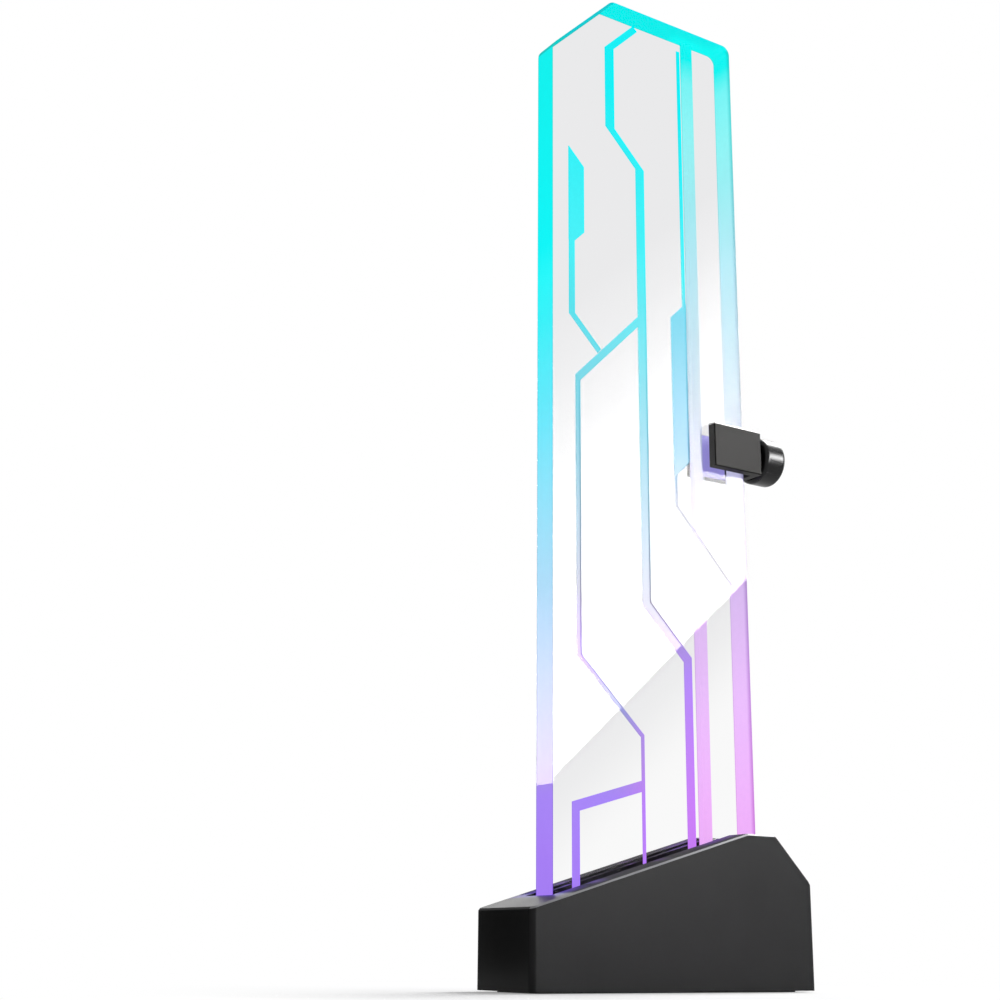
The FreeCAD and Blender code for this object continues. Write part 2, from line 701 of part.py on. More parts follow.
def make_clip():
    """The bent-round clip: two jaws, a web beyond the panel's edge and a lip that hooks in the groove."""
    body = new_body("clip_body")
    plan = new_sketch(body, "plan", "XY_Plane", "sizes.clip_height - sizes.jaw_height / 2")
    inner_front = f"{PANEL_FRONT} - {LINER_SPACE}"
    inner_back = f"{PANEL_BACK} + {LINER_SPACE}"
    lip_right = f"{RAIL_LEFT} - sizes.lip_clearance"
    lip_left = f"{RAIL_LEFT} - sizes.lip_clearance - sizes.lip_thick"
    lip_tip = f"{PANEL_BACK} - sizes.groove_depth + sizes.lip_tip_gap"
    draw_outline(
        plan,
        [
            (JAW_LEFT, f"{inner_front} - sizes.jaw_thick"),
            (WEB_OUTER, f"{inner_front} - sizes.jaw_thick"),
            (WEB_OUTER, f"{inner_back} + sizes.jaw_thick"),
            (lip_left, f"{inner_back} + sizes.jaw_thick"),
            (lip_left, lip_tip),
            (lip_right, lip_tip),
            (lip_right, inner_back),
            (WEB_INNER, inner_back),
            (WEB_INNER, inner_front),
            (JAW_LEFT, inner_front),
        ],
    )
    pad(body, plan, "sizes.jaw_height")
    front = size(f"{inner_front} - sizes.jaw_thick")
    back = size(f"{inner_back} + sizes.jaw_thick")
    rims = edges_where(body, lambda a, b: same(a.y, b.y) and (same(a.y, front) or same(a.y, back)))
    dress(body, "Chamfer", "jaw_bevels", "sizes.clip_bevel", rims)
    hole = new_sketch(body, "insert_hole", "YZ_Plane", WEB_OUTER)
    draw_circle(hole, (PANEL_MIDDLE, "sizes.clip_height"),
                "sizes.stud_radius + sizes.thread_clearance + sizes.insert_wall")
    pocket(body, hole, "sizes.web_thick")
    finish(body, "clip_body")


def make_clip_fittings():
    """Soft liners on the jaws and the threaded bush in the web."""
    low = "sizes.clip_height - sizes.jaw_height / 2 + sizes.liner_margin"
    tall = "sizes.jaw_height - 2 * sizes.liner_margin"
    front = box("front_liner",
                (f"{PANEL_RIGHT} - {JAW_LEFT} - 2 * sizes.liner_margin", "sizes.liner_thick", tall),
                (f"{JAW_LEFT} + sizes.liner_margin", f"{PANEL_FRONT} - {LINER_SPACE}", low))
    finish(front, "front_liner")
    rear = box("rear_liner", ("sizes.rail_width - 2 * sizes.liner_margin", "sizes.liner_thick", tall),
               (f"{RAIL_LEFT} + sizes.liner_margin", f"{PANEL_BACK} + sizes.liner_gap", low))
    finish(rear, "rear_liner")
    place = (WEB_INNER, PANEL_MIDDLE, "sizes.clip_height")
    blank = cylinder("insert_blank", "sizes.stud_radius + sizes.thread_clearance + sizes.insert_wall",
                     "sizes.web_thick", place, "x")
    bore = cylinder("insert_bore", "sizes.stud_radius + sizes.thread_clearance", "sizes.web_thick", place, "x")
    finish(cut("clip_insert", blank, bore), "clip_insert")


KNOB_START = f"({WEB_OUTER} + sizes.knob_gap)"


def make_thumb_screw():
    """The pressure shoe against the panel's edge, the stud, the turned knob and its soft sleeve."""
    axis = ("sizes.clip_height",)
    shoe_blank = cylinder("shoe_blank", "sizes.shoe_radius", "sizes.shoe_thick",
                          (PANEL_RIGHT, PANEL_MIDDLE, *axis), "x")
    socket = cylinder("shoe_socket_tool", "sizes.stud_radius + sizes.thread_clearance", "sizes.shoe_socket",
                      (f"{PANEL_RIGHT} + sizes.shoe_thick - sizes.shoe_socket", PANEL_MIDDLE, *axis), "x")
    finish(cut("pressure_shoe", shoe_blank, socket), "pressure_shoe")
    stud_start = f"({PANEL_RIGHT} + sizes.shoe_thick - sizes.shoe_socket)"
    stud = cylinder("screw_stud", "sizes.stud_radius", f"{KNOB_START} + sizes.stud_grip - {stud_start}",
                    (stud_start, PANEL_MIDDLE, *axis), "x")
    finish(stud, "screw_stud")

    knob = turned("screw_knob", [
        ("0", "sizes.stud_radius"),
        ("0", "sizes.knob_core_radius - sizes.knob_round"),
        ("sizes.knob_collar", "sizes.knob_core_radius"),
        ("sizes.knob_length - sizes.knob_round", "sizes.knob_core_radius"),
        ("sizes.knob_length", "sizes.knob_core_radius - sizes.knob_round"),
        ("sizes.knob_length", "0"),
        ("sizes.stud_grip", "0"),
        ("sizes.stud_grip", "sizes.stud_radius"),
    ])
    finish(knob, "screw_knob")
    inner = "sizes.knob_core_radius"
    outer = "sizes.knob_core_radius + sizes.sleeve_thick"
    first = "sizes.knob_collar"
    last = "sizes.knob_length - sizes.knob_round"
    sleeve = turned("knob_sleeve", [
        (first, inner), (last, inner), (last, outer), (first, outer),
    ])
    dress(sleeve, "Fillet", "sleeve_rounds", "sizes.sleeve_round", rims_of(sleeve, size(outer)))
    finish(sleeve, "knob_sleeve")


def turned(label, profile):
    """A body turned about its own X axis, then set on the thumb screw's axis."""
    body = new_body(label)
    sketch = new_sketch(body, f"{label}_profile", "XZ_Plane")
    draw_outline(sketch, profile)
    turn = body.newObject("PartDesign::Revolution", f"{label}_turn")
    turn.Profile = sketch
    turn.ReferenceAxis = (sketch, ["H_Axis"])
    turn.Angle = 360
    sketch.Visibility = False
    put(body, (KNOB_START, PANEL_MIDDLE, "sizes.clip_height"))
    doc.recompute()
    return body


make_housing()
make_cover()
make_pad()
make_base_insides()
make_grommet()
make_panel_clamp()
make_panel()
make_clip()
make_clip_fittings()
make_thumb_screw()
doc.recompute()

for item in doc.Objects:
    if {"Invalid", "Error"} & set(item.State):
        raise RuntimeError(f"{item.Name} failed: {item.State}")
for label, node in nodes.items():
    if node.Shape.isNull() or not node.Shape.isValid():
        raise RuntimeError(f"{label} has no valid shape")

os.makedirs("parts", exist_ok=True)
for label, node in nodes.items():
    node.Shape.exportStep(f"parts/{label}.step")
    print(label, len(node.Shape.Solids), round(node.Shape.Volume, 2))
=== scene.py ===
# %% [markdown]
# A slim support bracket with a lit clear panel, finished for the camera. The solids come from the frame,
# already at their real size, so this lesson only gives them their finishes, adds the thread that is too
# fine for the solids, and sets up the camera and the light of a small studio.

# %% Load the frame
import math

import bpy
import numpy as np
from mathutils import Matrix, Vector


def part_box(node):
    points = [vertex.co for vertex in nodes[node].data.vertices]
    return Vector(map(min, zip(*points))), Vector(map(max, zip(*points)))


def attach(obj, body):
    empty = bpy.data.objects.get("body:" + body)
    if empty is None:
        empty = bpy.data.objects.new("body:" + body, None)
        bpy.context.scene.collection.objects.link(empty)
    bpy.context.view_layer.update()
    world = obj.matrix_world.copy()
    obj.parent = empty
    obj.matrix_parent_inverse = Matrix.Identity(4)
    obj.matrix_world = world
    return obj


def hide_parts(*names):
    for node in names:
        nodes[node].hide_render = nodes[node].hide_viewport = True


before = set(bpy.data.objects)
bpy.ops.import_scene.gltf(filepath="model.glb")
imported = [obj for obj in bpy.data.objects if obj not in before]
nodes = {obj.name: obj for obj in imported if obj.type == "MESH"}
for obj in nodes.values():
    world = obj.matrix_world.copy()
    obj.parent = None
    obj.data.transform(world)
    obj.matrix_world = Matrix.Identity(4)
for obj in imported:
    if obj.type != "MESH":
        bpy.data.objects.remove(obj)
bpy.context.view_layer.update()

MM = 0.001
BLACK = (0.0, 0.0, 0.0, 1.0)
print("solid pieces:", len(nodes))

# %% [markdown]
# Everything is placed from the solids' own boxes. The panel's box gives its two polished faces, its left
# and right edges, its seat in the base and its top, and every mask and most lamps below are worked out from
# those. Reading them from the frame means that a changed size needs no change here.

# %% Places taken from the frame
panel_low, panel_high = (np.array(corner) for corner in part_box("light_panel"))
PANEL_LEFT, PANEL_FRONT = (float(place) for place in panel_low[:2])
PANEL_RIGHT, PANEL_BACK, PANEL_TOP = (float(place) for place in panel_high)
PANEL_WIDTH = PANEL_RIGHT - PANEL_LEFT
BASE_TOP = float(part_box("base_housing")[1][2])
CLIP_RIGHT, _, CLIP_TOP = (float(place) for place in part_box("clip_body")[1])
print("panel, mm:", np.round((panel_high - panel_low) / MM, 2))

# %% [markdown]
# The camera stands low in front and to the left and looks slightly up, which is why the panel narrows
# towards its top. Its place and turn come from matching the base's and the panel's corners in the
# photograph. A camera looks along its own -Z, so its turn is built from three directions: right, up and
# back.

# %% Camera
FRAME_PIXELS = 1000
FOCAL_PIXELS = 1599.5
SENSOR_MM = 36.0
CAMERA_PLACE = Vector((-0.2118, -0.2677, 0.0073))
CAMERA_HEADING = math.radians(33.01)
CAMERA_PITCH = math.radians(15.82)
CAMERA_ROLL = math.radians(-0.53)


def add_camera():
    """A camera looking along (sin heading, cos heading), raised by the pitch and rolled about its axis."""
    data = bpy.data.cameras.new("photo_camera")
    data.sensor_width = SENSOR_MM
    data.lens = FOCAL_PIXELS / FRAME_PIXELS * SENSOR_MM
    data.clip_start = 0.01
    data.clip_end = 50.0
    forward = Vector((
        math.sin(CAMERA_HEADING) * math.cos(CAMERA_PITCH),
        math.cos(CAMERA_HEADING) * math.cos(CAMERA_PITCH),
        math.sin(CAMERA_PITCH),
    ))
    level_right = forward.cross(Vector((0, 0, 1))).normalized()
    level_up = level_right.cross(forward)
    right = level_right * math.cos(CAMERA_ROLL) - level_up * math.sin(CAMERA_ROLL)
    up = level_right * math.sin(CAMERA_ROLL) + level_up * math.cos(CAMERA_ROLL)
    turn = Matrix((right, up, -forward)).transposed()
    camera = bpy.data.objects.new("photo_camera", data)
    camera.matrix_world = Matrix.Translation(CAMERA_PLACE) @ turn.to_4x4()
    bpy.context.scene.collection.objects.link(camera)
    bpy.context.scene.camera = camera
    return camera


print("lens, mm:", round(add_camera().data.lens, 1))

# %% [markdown]
# Shader maths reads best as ordinary sums. A Signal wraps one socket, and the usual operators on it add the
# Math nodes, so a mask can be written as 1 - edge * 0.5. The other ways are to place each Math node by
# hand, which soon hides what is being worked out, or to write the shader as a text, which the export can't
# bake.

# %% Signals
class Signal:
    """One shader socket with Python's operators; each operator adds a Math node."""

    def __init__(self, paint, socket):
        self.paint = paint
        self.socket = socket

    def maths(self, operation, *others):
        return self.paint.add("Math", {"operation": operation}, dict(enumerate((self, *others))))

    def __add__(self, other):
        return self.maths("ADD", other)

    def __sub__(self, other):
        return self.maths("SUBTRACT", other)

    def __mul__(self, other):
        return self.maths("MULTIPLY", other)

    def __truediv__(self, other):
        return self.maths("DIVIDE", other)

    def __pow__(self, other):
        return self.maths("POWER", other)

    def __rsub__(self, other):
        return self.paint.add("Math", {"operation": "SUBTRACT"}, {0: other, 1: self})

    def __gt__(self, other):
        return self.maths("GREATER_THAN", other)

    def __lt__(self, other):
        return self.maths("LESS_THAN", other)

    __radd__ = __add__
    __rmul__ = __mul__


def smooth(value, low, high):
    """0 below low, 1 above high, with a soft S between."""
    settings = {"interpolation_type": "SMOOTHSTEP"}
    return value.paint.add("MapRange", settings, {0: value, 1: low, 2: high, 3: 0.0, 4: 1.0})


print("a signal also stands on the right of:", [name for name in vars(Signal) if name.startswith("__r")])

# %% [markdown]
# A Paint holds one material's nodes. Every node comes from its one method, add: the node's type, its
# settings and what goes into its sockets. The few patterns that many finishes share, such as clouds and
# fine bumps, are short methods on top of it, so that a finish reads as a list of what the eye sees.

# %% Paint
class Paint:
    """One material, or the world, and its nodes."""

    def __init__(self, name, tree=None):
        self.material = None
        if tree is None:
            self.material = bpy.data.materials.new(name)
            self.material.use_nodes = True
            tree = self.material.node_tree
        self.tree = tree
        self.tree.nodes.clear()
        self.place = None

    def add(self, kind, settings=None, inputs=None, out=0):
        """Makes a node: settings first, then each socket's value or link; gives one output or several."""
        node = self.tree.nodes.new(f"ShaderNode{kind}")
        for name, value in (settings or {}).items():
            if name == "stops":
                self.set_stops(node.color_ramp, value)
            else:
                setattr(node, name, value)
        for name, value in (inputs or {}).items():
            if isinstance(value, Signal):
                self.tree.links.new(value.socket, node.inputs[name])
            else:
                node.inputs[name].default_value = value
        if out is None:
            return None
        if isinstance(out, tuple):
            return tuple(Signal(self, node.outputs[name]) for name in out)
        return Signal(self, node.outputs[out])

    @staticmethod
    def set_stops(ramp, stops):
        while len(ramp.elements) < len(stops):
            ramp.elements.new(1.0)
        for element, (position, colour) in zip(ramp.elements, stops):
            element.position = position
            element.color = (*colour, 1.0)

    def split(self, vector):
        """The x, y and z of a vector as three signals."""
        return self.add("SeparateXYZ", None, {0: vector}, out=("X", "Y", "Z"))

    def spot(self):
        """The point on the object, in metres: the whole vector, then its x, y and z."""
        if self.place is None:
            coords = self.add("TexCoord", out="Object")
            self.place = (coords, *self.split(coords))
        return self.place

    def facing(self):
        """The surface's own normal as three signals."""
        return self.split(self.add("NewGeometry", out="Normal"))

    def noise(self, scale, detail=2.0, stretch=(1, 1, 1)):
        """Cloudy noise with a given number of spots per metre, stretched along an axis if asked."""
        vector = self.add("Mapping", None, {"Vector": self.spot()[0], "Scale": stretch})
        return self.add("TexNoise", None, {"Vector": vector, "Scale": scale, "Detail": detail})

    def blend(self, share, one, other):
        """A mix of two colours."""
        return self.add("Mix", {"data_type": "RGBA"}, {0: share, 6: one, 7: other}, out=2)

    def ramp(self, value, stops):
        return self.add("ValToRGB", {"stops": stops}, {0: value})

    def bump(self, height, distance, strength):
        return self.add("Bump", None, {"Height": height, "Distance": distance, "Strength": strength})

    def principled(self, **sockets):
        inputs = {name.replace("_", " "): value for name, value in sockets.items()}
        return self.add("BsdfPrincipled", None, inputs)

    def finish(self, shader, kind="OutputMaterial"):
        self.add(kind, None, {"Surface": shader}, out=None)
        return self.material


print("patterns on a paint:", [name for name in vars(Paint) if not name.startswith("_")])

# %% [markdown]
# Shaders count light, and a screen shows it on a curve. So a colour that was judged on a screen is turned
# into light first. A finish is then given to a solid by its node's name.

# %% Colours and coats
def linear(red, green, blue):
    """A colour as a screen shows it, 0 to 255, turned into light.

    Above a short straight part near black, light is ((value + 0.055) / 1.055) to the power 2.4.
    """
    values = np.array((red, green, blue)) / 255.0
    light = np.where(values <= 0.04045, values / 12.92, ((values + 0.055) / 1.055) ** 2.4)
    return tuple(float(value) for value in light)


def coat(material, *names):
    """Gives a finish to solids of the frame."""
    for name in names:
        slots = nodes[name].material_slots
        if not slots:
            nodes[name].data.materials.append(material)
        for slot in slots:
            slot.material = material
    print(material.name, "on", ", ".join(names))


print("a middle grey on the screen is this much light:", round(linear(128, 128, 128)[0], 3))

# %% [markdown]
# The panel throws violet light on the black base around its foot. A black coat returns hardly any of it, so
# the light is written into the coat as a faint glow of its own: a ramp along the slot has a peak under each
# bright band, and it fades with the distance from the panel. Real lamps inside the panel would be the other
# way, but they'd be slow to render and would light the floor too.

# %% Violet spill
SPILL_REACH = 7.5 * MM
SPILL = [
    (0.00, (0.04, 0.01, 0.35)),
    (0.05, (0.08, 0.02, 0.38)),
    (0.11, (0.0, 0.0, 0.03)),
    (0.15, (0.13, 0.07, 0.38)),
    (0.20, (0.01, 0.005, 0.03)),
    (0.42, (0.004, 0.002, 0.01)),
    (0.46, (0.06, 0.02, 0.12)),
    (0.50, (0.004, 0.002, 0.01)),
    (0.64, (0.04, 0.03, 0.06)),
    (0.71, (0.12, 0.05, 0.30)),
    (0.88, (0.12, 0.06, 0.24)),
    (1.00, (0.10, 0.08, 0.14)),
]


def violet_spill(paint):
    """The glow's colour on faces that look up.

    The distance is the greatest of how far a point lies in front of the panel, behind it, or, counted double,
    to the left of it.
    """
    _, x, y, _ = paint.spot()
    along = paint.ramp((x - PANEL_LEFT) / PANEL_WIDTH, SPILL)
    apart = (y * -1 + PANEL_FRONT).maths("MAXIMUM", y - PANEL_BACK)
    apart = apart.maths("MAXIMUM", (x * -1 + PANEL_LEFT) * 2.0)
    near = (1 - smooth(apart, 0.0, SPILL_REACH)) * smooth(paint.facing()[2], 0.6, 0.85)
    return paint.blend(near, BLACK, along)


print("spill: stops", len(SPILL), "reach, mm:", SPILL_REACH / MM)

# %% [markdown]
# The base and the clip are cast metal with a satin black powder coat: a soft sheen and a very fine
# orange-peel grain. Their rims get a painted highlight: a thin, paler and metallic line along the top edges.
# The colour is nearly black and the highlights do the drawing. One function makes both coats, because they
# differ only in numbers.

# %% Satin black coat
CLOUDS = 60.0
# The width of the painted highlight line just below a top edge.
HIGHLIGHT_LINE = 0.25 * MM
PEEL_DEPTH = 0.04 * MM
DULLER = 0.4


def painted_rim_highlight(paint, cloud, top):
    """A painted highlight along the rims: a paler, metallic colour where the edges would catch the light.

    A rim is where the normal lies between the front or back face and the top: its y part is neither 0 nor 1.
    The upright faces get the painted highlight too, along a thin line just below the top.
    """
    z = paint.spot()[3]
    _, turn, up = paint.facing()
    slant = turn.maths("ABSOLUTE")
    sloped = smooth(slant * (1 - slant), 0.08, 0.2) * smooth(up, 0.2, 0.5)
    edge = smooth(z, top - HIGHLIGHT_LINE * 2, top - HIGHLIGHT_LINE) * (up < 0.5)
    return sloped.maths("MAXIMUM", edge) * (0.7 + cloud * 0.4)


def satin_black(name, shade, gloss, grain, specular, highlight_tint, top, dull_from, lit):
    """Cloudy shade and gloss, fine bumps and a painted highlight on the rims; to the right of dull_from the
    top is duller.
    """
    paint = Paint(name)
    cloud = paint.noise(CLOUDS, 3.0)
    speck = paint.noise(grain, 4.0)
    rim = painted_rim_highlight(paint, cloud, top)
    dull = smooth(paint.spot()[1], dull_from - MM, dull_from + MM) * smooth(paint.facing()[2], 0.75, 0.9)
    low = tuple(value * 0.8 for value in shade)
    high = tuple(value * 1.25 for value in shade)
    # The rims get the paler tint, a painted highlight, and turn metallic, so they also mirror the lamps.
    shader = paint.principled(
        Base_Color=paint.blend(rim, paint.blend(cloud, (*low, 1.0), (*high, 1.0)), (*highlight_tint, 1.0)),
        Metallic=rim,
        Roughness=gloss + dull * DULLER + (cloud - 0.5) * 0.12 + (speck - 0.5) * 0.08,
        Specular_IOR_Level=specular,
        Emission_Color=violet_spill(paint) if lit else BLACK,
        Emission_Strength=1.0,
        Normal=paint.bump(speck, PEEL_DEPTH, 0.35),
    )
    return paint.finish(shader)


# The paler tints given for the rims of both coats are painted highlights.
base_coat = satin_black("powder_coat", shade=(0.013, 0.013, 0.0135), gloss=0.42, grain=2600.0, specular=0.08,
                        highlight_tint=(0.15, 0.15, 0.155), top=BASE_TOP, dull_from=PANEL_LEFT, lit=True)
clip_coat = satin_black("clip_coat", shade=(0.013, 0.0122, 0.0112), gloss=0.35, grain=3200.0, specular=0.036,
                        highlight_tint=(0.22, 0.22, 0.215), top=CLIP_TOP, dull_from=CLIP_RIGHT, lit=False)
coat(base_coat, "base_housing")
coat(clip_coat, "clip_body")

# %% [markdown]
# The panel is one clear acrylic sheet that carries light from the base. Its two big faces are polished and
# nearly invisible. Its sawn edges, the engraved traces and the groove's walls are frosted, so that is where
# the light gets out. The glow runs from cyan at the top to violet at the foot, paler and pinker on the
# right. Real light paths through the sheet would be slow and noisy, so the frosted places simply glow, and
# three ramps over the height give their colours.

# %% Colours of the glow
LEFT_GLOW = [
    (0.12, linear(170, 130, 250)),
    (0.17, linear(168, 135, 248)),
    (0.20, linear(165, 152, 210)),
    (0.36, linear(85, 165, 205)),
    (0.52, linear(0, 212, 235)),
    (0.67, linear(0, 247, 250)),
    (0.90, linear(0, 243, 240)),
]
RIGHT_GLOW = [
    (0.16, linear(245, 182, 255)),
    (0.28, linear(238, 194, 255)),
    (0.38, linear(228, 196, 250)),
    (0.57, linear(182, 196, 212)),
    (0.74, linear(180, 236, 248)),
    (0.89, linear(150, 255, 255)),
    (0.95, linear(124, 255, 255)),
    (0.98, linear(0, 252, 248)),
]
TRACE_GLOW = [
    (0.16, linear(205, 128, 250)),
    (0.29, linear(182, 140, 250)),
    (0.36, linear(155, 155, 180)),
    (0.53, linear(110, 195, 215)),
    (0.71, linear(70, 243, 250)),
    (0.90, linear(0, 242, 248)),
]
THIN_TINT = (0.62, 0.60, 0.68, 1.0)
LOOP_TINT = (0.2, 0.38, 0.7, 1.0)
print("stops of the glow:", len(LEFT_GLOW), len(RIGHT_GLOW), len(TRACE_GLOW))

# %% [markdown]
# One mask tells the frosted places from the polished ones: only the polished faces lie exactly at the
# sheet's front and back. The others pick out the engraving, the bevel along the cut-off corner, the outer
# lines of the edges and the paler right side. All are sums on the point's own coordinates, so they need no
# picture.

# %% Masks of the panel
EDGE_SKIN = 0.05 * MM
TRACE_ZONE = 0.35 * MM
RIM_LINE = 0.4 * MM
SHADE_LINE = 1.6 * MM
CUT_CORNER = 17.0 * MM
CORNER_BEVEL = 0.55 * MM
PANEL_MIDDLE = (PANEL_FRONT + PANEL_BACK) / 2
RIGHT_EDGE = 0.99


def panel_shares(paint):
    """How far up the panel and how far across it a point lies, both from 0 to 1."""
    _, x, _, z = paint.spot()
    return z / PANEL_TOP, (x - PANEL_LEFT) / PANEL_WIDTH


def frosted_mask(paint):
    """Frosted places, and among them the bevel of the cut-off corner.

    The corner is cut where (x - left) + (top - z) is less than its size; divided by the root of 2, that is
    the distance from the cut.
    """
    _, x, y, z = paint.spot()
    between_faces = (y > PANEL_FRONT + EDGE_SKIN) * (y < PANEL_BACK - EDGE_SKIN)
    past_corner = (x - z + (PANEL_TOP - PANEL_LEFT - CUT_CORNER)) / math.sqrt(2)
    corner = past_corner < CORNER_BEVEL
    return between_faces.maths("MAXIMUM", corner), corner


def trace_mask(paint):
    """The engraving: a layer behind the front face, a little thicker than the cut, without the two edges."""
    across = panel_shares(paint)[1]
    return (paint.spot()[2] < PANEL_FRONT + TRACE_ZONE) * smooth(across, 0.02, 0.10) * (across < RIGHT_EDGE)


def right_mask(paint):
    """The paler side: the right edge, and the groove in the back."""
    across = panel_shares(paint)[1]
    behind = (paint.spot()[2] > PANEL_MIDDLE) * smooth(across, 0.70, 0.74)
    return smooth(across, 0.93, 0.97).maths("MAXIMUM", behind)


def rim_mask(paint, trace, corner):
    """Deeper colour along the outer lines of the edges, and softly along the right edge's front."""
    y = paint.spot()[2]
    near_front = smooth(y, PANEL_FRONT, PANEL_FRONT + RIM_LINE)
    near_back = smooth(y * -1, -PANEL_BACK, RIM_LINE - PANEL_BACK)
    shaded = (1 - smooth(y, PANEL_FRONT, PANEL_FRONT + SHADE_LINE)) * (panel_shares(paint)[1] > RIGHT_EDGE)
    lines = (1 - near_front * near_back) * (1 - trace)
    return lines.maths("MAXIMUM", corner).maths("MAXIMUM", shaded)


print("mask of the engraving reaches, mm:", TRACE_ZONE / MM, "middle, mm:", round(PANEL_MIDDLE / MM, 2))

# %% [markdown]
# Frosted places glow and hardly answer to the studio's lamps. Where two ramps meet, masks blend them
# softly, because light inside one sheet never changes colour at a line.

# %% Frosted glow
RIM_DEEPER = 0.7
RIM_DARKER = 0.25
FROST_GRAIN = 900.0
FROST_MEAN = 0.03
FROST_SWING = 0.06


def panel_glow(paint, trace):
    """The colour of the light at each height: left edge, traces, the pale loop on the right, right edge."""
    height, across = panel_shares(paint)
    pink = smooth(across, 0.25, 0.60).maths("MAXIMUM", smooth(height, 0.24, 0.32))
    glow = paint.blend(trace * pink, paint.ramp(height, LEFT_GLOW), paint.ramp(height, TRACE_GLOW))
    loop = smooth(height, 0.37, 0.385) * (1 - smooth(height, 0.66, 0.70))
    paler = trace * smooth(across, 0.56, 0.62) * loop
    upper = smooth(height, 0.46, 0.52)
    tint = paint.blend(upper, THIN_TINT, LOOP_TINT)
    glow = paint.blend(paler * (0.8 - upper * 0.4), glow, tint)
    return paint.blend(right_mask(paint), glow, paint.ramp(height, RIGHT_GLOW))


def frosted_shader(paint, corner):
    """The glow times itself is a deeper colour of the same hue; a blend with black then darkens it."""
    trace = trace_mask(paint)
    rim = rim_mask(paint, trace, corner)
    glow = panel_glow(paint, trace)
    multiply = {"data_type": "RGBA", "blend_type": "MULTIPLY"}
    deeper = paint.add("Mix", multiply, {0: rim * RIM_DEEPER, 6: glow, 7: glow}, out=2)
    frost = paint.noise(FROST_GRAIN, 3.0)
    light = paint.blend(FROST_MEAN - (frost - 0.5) * FROST_SWING + rim * RIM_DARKER, deeper, BLACK)
    return paint.principled(
        Base_Color=paint.blend(0.75, light, BLACK),
        Roughness=0.5,
        Specular_IOR_Level=0.0,
        Emission_Color=light,
        Emission_Strength=0.95,
    )


print("frost darkens the glow by", FROST_MEAN, "and swings by", FROST_SWING / 2)

# %% [markdown]
# The polished faces let the background through and mirror the soft lamps. A glass shader would bend every
# ray twice and need far more samples for the same look, so a clear shader is mixed with a mirror by
# Fresnel's law. The sheet is brighter towards its foot, where the light comes in, below the line at which
# the mirrored lamp ends.

# %% Clear faces
POLISH = 0.2
SAWN_GLOSS = 0.4
BRIGHT_FOOT = 28.0 * MM
CLEAR_GREY = (0.925, 0.925, 0.93, 1.0)
CLEAR_BRIGHT = (0.99, 0.99, 0.99, 1.0)
ACRYLIC_IOR = 1.49
FRONT_BORDER = [(PANEL_LEFT + 4.6 * MM, PANEL_FRONT, 45.5 * MM), (PANEL_RIGHT, PANEL_FRONT, 89.3 * MM)]
BORDER_SLOPE = (FRONT_BORDER[1][2] - FRONT_BORDER[0][2]) / (FRONT_BORDER[1][0] - FRONT_BORDER[0][0])


def clear_shader(paint):
    """Two clear shaders mixed by how far z - slope * x lies below its value on the border."""
    _, x, _, z = paint.spot()
    border = FRONT_BORDER[0][2] - BORDER_SLOPE * FRONT_BORDER[0][0]
    foot = 1 - smooth(z - x * BORDER_SLOPE, border - BRIGHT_FOOT, border)
    grey = paint.add("BsdfTransparent", None, {"Color": CLEAR_GREY})
    bright = paint.add("BsdfTransparent", None, {"Color": CLEAR_BRIGHT})
    return paint.add("MixShader", None, {0: foot, 1: grey, 2: bright})


def mirror_share(paint):
    """How much a face mirrors: Fresnel's share on the outer side, less on the sawn edges."""
    fresnel = paint.add("Fresnel", None, {"IOR": ACRYLIC_IOR})
    outside = 1 - paint.add("NewGeometry", out="Backfacing")
    polished = paint.facing()[1].maths("ABSOLUTE") * (1 - SAWN_GLOSS) + SAWN_GLOSS
    return fresnel * outside * polished


def light_panel_finish():
    """Clear or frosted by the first mask, then the mirror on top."""
    paint = Paint("edge_lit_acrylic")
    inside, corner = frosted_mask(paint)
    seen = paint.add("MixShader", None, {0: inside, 1: clear_shader(paint), 2: frosted_shader(paint, corner)})
    gloss = paint.add("BsdfGlossy", None, {"Color": (POLISH, POLISH, POLISH, 1), "Roughness": 0.01})
    return paint.finish(paint.add("MixShader", None, {0: mirror_share(paint), 1: seen, 2: gloss}))


coat(light_panel_finish(), "light_panel")

# %% [markdown]
# The small parts keep to plain shop finishes. Moulded ones are rubber, silicone, plastic, nylon, the
# board's solder mask and the chips' phosphor: one colour, soft clouds and the mould's fine grain.

# %% Moulded parts
MOULD_CLOUDS = 90.0


def moulded(name, shade, gloss, grain, depth, specular=0.4, glow=0.0):
    """Moulded plastic or rubber; a translucent one that the panel shines into glows a little."""
    paint = Paint(name)
    cloud = paint.noise(MOULD_CLOUDS, 3.0)
    speck = paint.noise(grain, 3.0)
    low = tuple(value * 0.85 for value in shade)
    high = tuple(min(value * 1.15, 1.0) for value in shade)
    shader = paint.principled(
        Base_Color=paint.blend(cloud, (*low, 1.0), (*high, 1.0)),
        Roughness=gloss + (speck - 0.5) * 0.1,
        Specular_IOR_Level=specular,
        Emission_Color=(*shade, 1.0),
        Emission_Strength=glow,
        Normal=paint.bump(speck, depth * MM, 0.4),
    )
    return paint.finish(shader)


